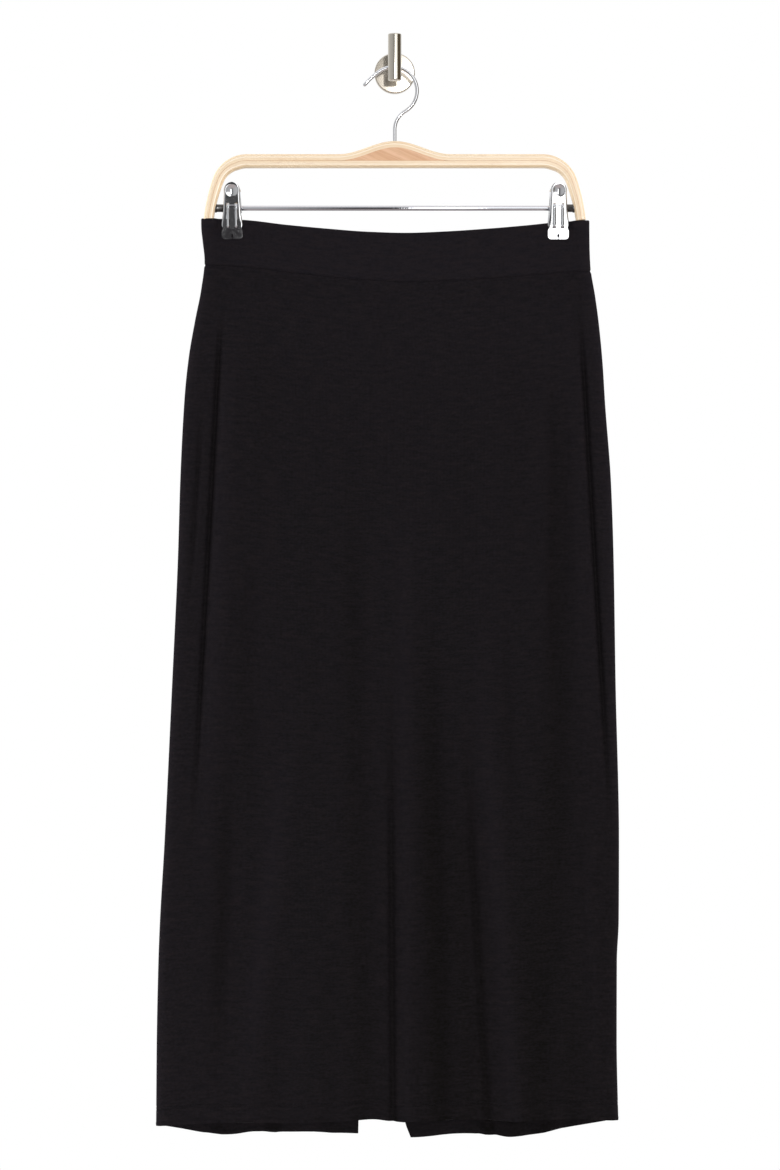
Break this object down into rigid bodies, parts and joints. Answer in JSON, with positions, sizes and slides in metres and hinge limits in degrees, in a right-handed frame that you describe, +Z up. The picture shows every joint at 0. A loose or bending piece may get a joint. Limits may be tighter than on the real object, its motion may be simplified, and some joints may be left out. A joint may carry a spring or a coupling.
{
  "type": "midi skirt on a clip hanger and wall hook",
  "caption": "Black jersey midi skirt with a wide waistband and a back slit, held by the clips of a bent wood hanger that hangs on a round wall hook.",
  "frame": {"origin": "centre of the wall hook's plate, on the face that lies on the wall", "axes": "+Z up, +X to the viewer's right, +Y into the wall; the skirt hangs in front of the wall at negative Y"},
  "size_m": [0.4283, 0.0523, 1.0217],
  "materials": {
    "black_jersey": "matte fine knit",
    "pale_laminate": "clear satin lacquer",
    "beech_core": "clear satin lacquer",
    "chrome_plate": "bright plated",
    "black_plastic": "semi-gloss",
    "brushed_steel": "brushed"
  },
  "bodies": {
    "root": {"waistband_front": "black_jersey", "waistband_back": "black_jersey", "skirt_front": "black_jersey", "skirt_back_left": "black_jersey", "skirt_back_right": "black_jersey", "hanger_outer_strip": "pale_laminate", "hanger_inner_strip": "pale_laminate", "hanger_insert": "beech_core", "hanger_hook": "chrome_plate", "hanger_rod": "chrome_plate", "rod_ferrule_left": "black_plastic", "rod_ferrule_right": "black_plastic", "clip_left_front": "chrome_plate", "clip_left_back": "chrome_plate", "clip_left_spring": "chrome_plate", "clip_right_front": "chrome_plate", "clip_right_back": "chrome_plate", "clip_right_spring": "chrome_plate", "wall_plate": "brushed_steel", "wall_peg": "brushed_steel"}
  },
  "joints": []
}
